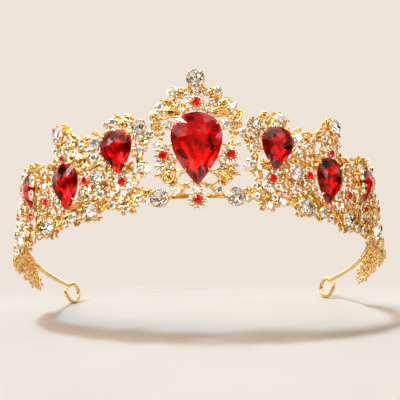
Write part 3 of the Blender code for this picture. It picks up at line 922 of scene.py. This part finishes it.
def laced(angle, height):
    """Whether the bed of petals reaches this place: it leaves the centre casting mostly open, and
    leaves small gaps beside it."""
    across = abs(angle)
    if across < OPEN_HALF:
        crest = height > 29.5 + across * 0.1
        return crest or (across > 6.0 and 3.6 < height < 10.6) or (across > 9.0 and height > 17.5)
    if across < 16.5:
        return height > 17.5
    return across > 24.0 or (int(across * 3.7) + int(height * 1.9)) % 3 > 0


def lay_petals(layout):
    """A bed of cast petals over each casting, under everything else and larger at its tip."""
    for angle, height in strewn(spacing=1.9, lowest=-7.6, end=111.0, jitter=0.45):
        at_tip = angle > TIP_DRAWS_IN[0]
        aim = DRAWS.uniform(0.0, 360.0)
        size = DRAWS.uniform(0.85, 1.15) * (1.35 if at_tip else 1.0)
        tip = random_tip(0.35)
        out = DRAWS.uniform(0.3, 0.9)
        blunt = DRAWS.random() < 0.68
        if angle > 110.5 or not laced(angle, height) or not layout.covers(angle, height):
            continue
        for side, angle in both_sides([(angle,)]):
            place = turned(tipped(wall(angle, height, out), *tip), mirrored(aim, side))
            metal = layout.pick(angle).gold
            if blunt or at_tip:
                petal(metal, place, 2.3 * size, 1.7 * size)
            else:
                leaf(metal, place, 2.5 * size, 1.7 * size, 0.35, 0.45, 5)


def add_filler(casting, place, kind, reach):
    """One small ornament: ring, stone, leaf or curl, by a kind between 0 and 1."""
    if kind < 0.12:
        ringlet(casting.gold, place, reach * 0.8)
        if reach > 0.9:
            bead(casting.gold, at(place, 0.0, 0.0, 0.1), reach * 0.35, 7, 4)
    elif kind < 0.64:
        set_round(casting.gold, casting.clear, place, max(reach * 1.9, 1.6), 1.0)
    elif kind < 0.86:
        leaf(casting.gold, place, reach * 3.3, reach * 1.75, 0.55)
    else:
        curl(casting.gold, place, reach * 1.15)


def fill_gaps(layout):
    """Smaller ornaments in what is left of each casting."""
    for angle, height in strewn(spacing=2.2, lowest=-7.4, end=110.0, jitter=0.4):
        size = DRAWS.uniform(0.9, 1.15)
        kind = DRAWS.random()
        aim = DRAWS.uniform(0.0, 360.0)
        tip = random_tip(0.2)
        left_open = angle < OPEN_HALF and height < 27.0
        if angle > 110.0 or left_open or not layout.covers(angle, height):
            continue
        room = layout.room(angle, height)
        if room < 0.6:
            continue
        reach = min(room + 0.1, 1.35) * size
        out = 1.4 + 0.8 * kind
        for side, angle in both_sides([(angle,)]):
            place = turned(tipped(wall(angle, height, out), *tip), mirrored(aim, side))
            add_filler(layout.pick(angle), place, kind, reach)
            layout.claim(angle, height, reach, out - 0.2)


def tie(metal, one, other):
    """A thin wire between two claims. It bows a little, and dips to the middle of the web."""
    between = other.spot - one.spot
    bow = DRAWS.uniform(-0.22, 0.22) * between.length
    ahead = between.normalized()
    path = []
    for share in (0.0, 0.25, 0.5, 0.75, 1.0):
        swell = 4.0 * share * (1.0 - share)
        spot = one.spot.lerp(other.spot, share) + Vector((-ahead.y, ahead.x)) * (swell * bow)
        out = WEB_OUT * swell + (1.0 - swell) * (one.out if share < 0.5 else other.out)
        path.append(wall(spot.x / DEGREE_LENGTH, spot.y, out)[0])
    thick = DRAWS.uniform(0.3, 0.44)
    tube(metal, path, [thick * 1.3, thick, thick * 0.9, thick, thick * 1.3], 6)


def tie_wires(layout):
    """Wires from each ornament to its nearest neighbours and to the band."""
    anchors = [claim for claim in layout.taken if claim.out is not None]
    for step in range(-50, 51):
        angle = step * 2.0
        anchors.append(Claim(flat(angle, 0.0), BAND_RADIUS, angle, 0.0, 0.1 - standoff(angle)))
    tied = set()
    for index, one in enumerate(anchors):
        near = sorted(
            ((other.spot - one.spot).length, number) for number, other in enumerate(anchors)
            if number != index and abs(other.angle - one.angle) < 8.0
        )
        for distance, number in near[:4]:
            other = anchors[number]
            pair = (min(index, number), max(index, number))
            same_piece = one.radius == other.radius and one.radius in (EDGE_RADIUS, BAND_RADIUS)
            if pair in tied or same_piece or distance < 0.3 or distance > 5.0:
                continue
            middle = (one.spot + other.spot) / 2
            if distance > 2.8 and not layout.covers(middle.x / DEGREE_LENGTH, middle.y):
                continue
            tied.add(pair)
            tie(layout.pick((one.angle + other.angle) / 2).gold, one, other)


def make_castings():
    layout = Layout()
    claim_large_stones(layout)
    add_clears(layout)
    add_ovals(layout)
    add_flowers(layout)
    add_marquises(layout)
    add_leaves(layout)
    lay_petals(layout)
    fill_gaps(layout)
    tie_wires(layout)
    for casting in layout.castings.values():
        casting.gold.make()
        casting.clear.make()
        if casting.red.points:
            casting.red.make()


make_band()
make_arm("wire_arm_right", 1)
make_arm("wire_arm_left", -1)
for side, _, kind in both_sides((row[0], kind) for kind, row in PEARS.items()):
    make_pear(kind, side)
for side, _, kind in both_sides((row[0], kind) for kind, row in ROUNDS.items()):
    make_round(kind, side)
make_castings()


# ---------------------------------------------------------------- floor, world, lights, camera
# From here on lengths are in metres.

FLOOR_SLOPE = math.radians(25.0)
EYE_LOW, EYE_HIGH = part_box("wire_arm_right")
CONTACT = Vector((0.0, EYE_HIGH.y - 0.003, EYE_LOW.z - 0.0001))
AIM = Vector((0.0, BAND_LOW.y, LIFT.z * MM))
BELOW = math.radians(18.5)  # how steeply the camera looks up, from below the band's plane
DISTANCE = 0.6
FLOOR_FRONT = 0.30
FLOOR_BACK = 0.055
FLOOR_HALF_WIDTH = 0.19


def paper():
    """Matt pale paper whose edges thin out into the plain surroundings."""
    made, graph, shader = new_material("pale_paper")
    split = graph.add("SeparateXYZ", {"Vector": graph.add("TexCoord").outputs["Object"]})
    aside = graph.add("Math", {0: split.outputs["X"]}, operation="ABSOLUTE")
    reach = FLOOR_FRONT * math.cos(FLOOR_SLOPE)
    fades = [
        (split.outputs["Y"], (CONTACT.y + 0.004, CONTACT.y + FLOOR_BACK * 0.85)),
        (split.outputs["Y"], (CONTACT.y - reach * 0.72, CONTACT.y - reach * 0.97)),
        (aside.outputs["Value"], (FLOOR_HALF_WIDTH * 0.55, FLOOR_HALF_WIDTH * 0.96)),
    ]
    shown = 1.0
    for source, span in fades:
        fade = graph.mapped(source, span, (1.0, 0.0), "SMOOTHSTEP")
        shown = graph.add("Math", {0: shown, 1: fade}, operation="MULTIPLY").outputs["Value"]
    tones = [(0.3, (0.320, 0.262, 0.210)), (0.7, (0.330, 0.270, 0.218))]
    graph.put(shader, {
        "Base Color": graph.ramp(graph.noise(30.0, 2.0), tones),
        "Roughness": 0.85,
        "Specular IOR Level": 0.2,
        "Alpha": shown,
    })
    return made


def make_floor():
    """A pale sheet that slopes down toward the front and passes just under the two eyes."""
    along = Vector((0.0, -math.cos(FLOOR_SLOPE), -math.sin(FLOOR_SLOPE)))
    across = Vector((1.0, 0.0, 0.0))
    columns, rows = 24, 24
    points = []
    for row in range(rows + 1):
        forward = -FLOOR_BACK + (FLOOR_FRONT + FLOOR_BACK) * row / rows
        for column in range(columns + 1):
            sideways = FLOOR_HALF_WIDTH * (2.0 * column / columns - 1.0)
            points.append(CONTACT + along * forward + across * sideways)
    faces = []
    for row in range(rows):
        for column in range(columns):
            corner = row * (columns + 1) + column
            faces.append([corner, corner + columns + 1, corner + columns + 2, corner + 1])
    mesh = bpy.data.meshes.new("floor_sheet")
    mesh.from_pydata(points, [], faces)
    mesh.materials.append(paper())
    floor = bpy.data.objects.new("floor_sheet", mesh)
    bpy.context.scene.collection.objects.link(floor)


def softbox(graph, direction, toward, inner, outer, colour, strength):
    """A round patch of light in the surroundings, as a colour: full inside the inner angle from its
    middle, and gone outside the outer one."""
    middle = Vector(toward).normalized()
    dot = graph.add("VectorMath", {0: direction, 1: middle}, operation="DOT_PRODUCT").outputs["Value"]
    span = (math.cos(math.radians(outer)), math.cos(math.radians(inner)))
    full = [part * strength for part in colour]
    inputs = {0: full, "Scale": graph.mapped(dot, span, kind="SMOOTHSTEP")}
    return graph.add("VectorMath", inputs, operation="SCALE").outputs["Vector"]


def make_world():
    """A soft studio, pale above and below with a dark horizon, broken up by clutter and lit by six
    patches. The camera sees a plain backdrop in its place."""
    world = bpy.data.worlds.new("studio")
    bpy.context.scene.world = world
    world.use_nodes = True
    world.node_tree.nodes.clear()
    graph = Graph(world.node_tree)
    direction = graph.add("TexCoord").outputs["Generated"]
    split = graph.add("SeparateXYZ", {"Vector": direction})
    base = graph.ramp(graph.mapped(split.outputs["Z"], (-1.0, 1.0)), [
        (0.0, (0.62, 0.54, 0.45)), (0.36, (0.80, 0.71, 0.61)), (0.43, (0.10, 0.07, 0.05)),
        (0.58, (0.12, 0.09, 0.06)), (0.66, (0.95, 0.88, 0.79)), (1.0, (1.15, 1.10, 1.02)),
    ])
    clutter = graph.add("TexNoise", {"Scale": 3.2, "Detail": 1.0, "Vector": direction})
    contrast = graph.ramp(clutter.outputs["Fac"], [
        (0.38, (0.05, 0.04, 0.03)), (0.46, (0.45, 0.42, 0.38)),
        (0.52, (1.1, 1.08, 1.05)), (0.61, (2.3, 2.3, 2.3)),
    ])
    total = graph.add("VectorMath", {0: base, 1: contrast}, operation="MULTIPLY").outputs["Vector"]
    # toward, inner and outer angle, colour, strength
    boxes = [
        ((-0.47, -0.68, 0.56), 5.5, 7.0, (1.0, 0.98, 0.95), 42.0),
        ((0.80, -0.55, 0.22), 7.0, 13.0, (1.0, 0.97, 0.92), 3.0),
        ((-0.79, -0.39, 0.47), 6.0, 8.0, (1.0, 0.97, 0.92), 8.0),
        ((0.10, 0.70, 0.70), 18.0, 28.0, (1.0, 0.97, 0.92), 1.6),
        ((0.26, -0.96, 0.02), 3.0, 5.0, (1.0, 0.97, 0.93), 3.0),
        ((-0.38, -0.92, -0.06), 3.0, 5.5, (1.0, 0.97, 0.93), 3.0),
    ]
    for box in boxes:
        patch = softbox(graph, direction, *box)
        total = graph.add("VectorMath", {0: total, 1: patch}, operation="ADD").outputs["Vector"]
    studio = graph.add("Background", {"Color": total, "Strength": 1.12})
    backdrop = graph.add("Background", {"Color": (0.845, 0.768, 0.695, 1.0)})
    mix = graph.add("MixShader", {
        "Fac": graph.add("LightPath").outputs["Is Camera Ray"],
        1: studio.outputs["Background"],
        2: backdrop.outputs["Background"],
    })
    graph.add("OutputWorld", {"Surface": mix.outputs["Shader"]})


def make_sun():
    """A soft sun, bluer than the warm studio, so that the shadow it leaves is warm."""
    light = bpy.data.lights.new("key_sun", "SUN")
    light.energy = 4.4
    light.angle = math.radians(9.0)
    light.color = (0.62, 0.96, 1.32)
    lamp = bpy.data.objects.new("key_sun", light)
    bpy.context.scene.collection.objects.link(lamp)
    toward = Vector((-0.28, -0.65, 0.72)).normalized()
    lamp.rotation_mode = "QUATERNION"
    lamp.rotation_quaternion = toward.to_track_quat("Z", "Y")


def make_camera():
    """A long lens that looks up at the front from a little below the band's plane."""
    ahead = Vector((0.0, math.cos(BELOW), math.sin(BELOW)))
    lens = bpy.data.cameras.new("photo_camera")
    lens.sensor_width = 36.0
    lens.lens = 155.0
    lens.shift_x = 0.0055
    lens.shift_y = -0.01075
    lens.clip_start = 0.01
    camera = bpy.data.objects.new("photo_camera", lens)
    bpy.context.scene.collection.objects.link(camera)
    camera.location = AIM - ahead * DISTANCE
    camera.rotation_mode = "QUATERNION"
    camera.rotation_quaternion = (-ahead).to_track_quat("Z", "Y")
    camera.rotation_mode = "XYZ"
    camera.rotation_euler.rotate_axis("Z", math.radians(-1.2))
    bpy.context.scene.camera = camera


make_floor()
make_world()
make_sun()
make_camera()
bpy.context.scene.view_settings.view_transform = "Standard"
